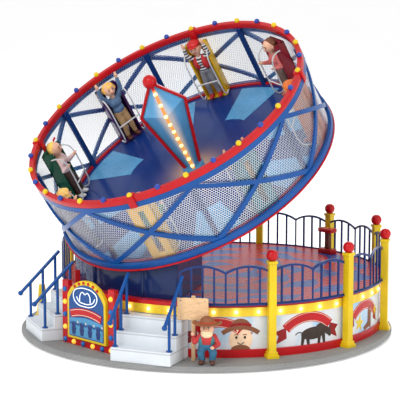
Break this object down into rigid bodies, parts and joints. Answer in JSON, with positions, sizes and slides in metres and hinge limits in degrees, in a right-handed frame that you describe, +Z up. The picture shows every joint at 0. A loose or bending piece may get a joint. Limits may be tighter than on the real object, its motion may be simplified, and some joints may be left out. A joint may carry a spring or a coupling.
{
  "type": "tabletop fairground ride",
  "caption": "Model fairground ride: a round cage of standing riders, tilted on a hinged boom, spins above a fenced round platform with stairs, painted skirt, lamps and a power inlet.",
  "frame": {"origin": "on the platform's vertical axis, at the level of the surface the model stands on", "axes": "+Z up; -Y is the front, the side that is looked at; +X to the right. The entrance and the drum's low side point along (-0.723, -0.691, 0)"},
  "size_m": [0.2931, 0.2966, 0.2444],
  "materials": {
    "base_grey": "stippled dark grey",
    "cover_grey": "moulded satin",
    "foot_rubber": "matt",
    "steel": "turned",
    "white_paint": "hand painted satin",
    "red_paint": "painted gloss",
    "yellow_paint": "painted gloss",
    "blue_paint": "painted gloss",
    "deck_paint": "blue with red printed marks",
    "fence_metal": "painted gloss",
    "rail_metal": "painted gloss",
    "sky_paint": "painted satin",
    "lamp": "clear warm lamp",
    "sign_paint": "painted picture",
    "board_cream": "painted",
    "figure_paint": "hand painted",
    "mesh_metal": "perforated, silver painted",
    "motor_can": "satin",
    "board_green": "circuit board",
    "black_plastic": "moulded",
    "knob_plastic": "moulded",
    "brass": "machined",
    "boom_paint": "painted satin",
    "gear_plastic": "acetal",
    "tray_paint": "painted in several colours",
    "guard_wire": "white coated wire",
    "rider_paint": "hand painted resin"
  },
  "bodies": {
    "platform": {"ground_plate": "base_grey", "bottom_cover": "cover_grey", "rubber_feet": "foot_rubber", "cover_screws": "steel", "skirt_wall": "white_paint", "kick_band": "red_paint", "light_band": "yellow_paint", "band_lamps": "lamp", "deck_plate": "deck_paint", "deck_rim": "red_paint", "fence_posts": "yellow_paint", "post_balls": "red_paint", "fence_panels": "fence_metal", "front_stairs": "white_paint", "side_stairs": "white_paint", "front_handrails": "rail_metal", "side_handrails": "rail_metal", "sign_frame": "red_paint", "sign_panel": "sign_paint", "sign_lamps": "lamp", "notice_board": "board_cream", "cutout_figure": "figure_paint", "gate_post": "red_paint", "operator_stand": "red_paint", "bollard": "yellow_paint", "boom_housing": "blue_paint", "hinge_bracket": "steel", "hinge_bushes": "brass", "lift_motor": "motor_can", "control_board": "board_green", "power_jack": "black_plastic", "switch_body": "black_plastic"},
    "switch": {"switch_knob": "knob_plastic"},
    "lift_pinion": {"lift_pinion": "brass"},
    "boom": {"boom_arm": "boom_paint", "hinge_shaft": "steel", "lift_sector": "steel", "spindle_bearings": "brass", "spin_motor": "motor_can", "brush_block": "black_plastic"},
    "spin_pinion": {"spin_pinion": "brass"},
    "drum": {"drum_spindle": "steel", "drum_gear": "gear_plastic", "slip_ring": "brass", "drum_floor": "blue_paint", "bottom_rim": "red_paint", "lower_band": "blue_paint", "upper_band": "blue_paint", "top_ring": "red_paint", "ring_balls": "yellow_paint", "mesh_wall": "mesh_metal", "wall_posts": "blue_paint", "cross_braces": "blue_paint", "column_base": "sky_paint", "column_panels": "sky_paint", "column_frame": "red_paint", "column_lamps": "lamp", "rider_trays": "tray_paint", "rider_guards": "guard_wire", "riders": "rider_paint"}
  },
  "joints": [
    {"name": "boom_tilt", "type": "hinge", "parent": "platform", "child": "boom", "pos_m": [-0.05711, -0.05458, 0.059], "axis": [0.6909, -0.723, 0], "range_deg": [-33.6, 0]},
    {"name": "drum_spin", "type": "hinge", "parent": "boom", "child": "drum", "pos_m": [-0.02254, -0.02155, 0.12979], "axis": [-0.4001, -0.3823, 0.8329], "continuous": true},
    {"name": "lift_pinion_turn", "type": "hinge", "parent": "platform", "child": "lift_pinion", "pos_m": [-0.05711, -0.05458, 0.027], "axis": [0.6909, -0.723, 0], "range_deg": [-1, 146]},
    {"name": "spin_pinion_turn", "type": "hinge", "parent": "boom", "child": "spin_pinion", "pos_m": [0.00514, 0.00491, 0.14082], "axis": [-0.4001, -0.3823, 0.8329], "continuous": true},
    {"name": "power_switch", "type": "slide", "parent": "platform", "child": "switch", "axis": [1, 0, 0], "range_m": [0, 0.0045]}
  ],
  "couplings": [
    {"joint": "lift_pinion_turn", "follows": "boom_tilt", "ratio": -4.3333},
    {"joint": "spin_pinion_turn", "follows": "drum_spin", "ratio": -5.3333}
  ]
}
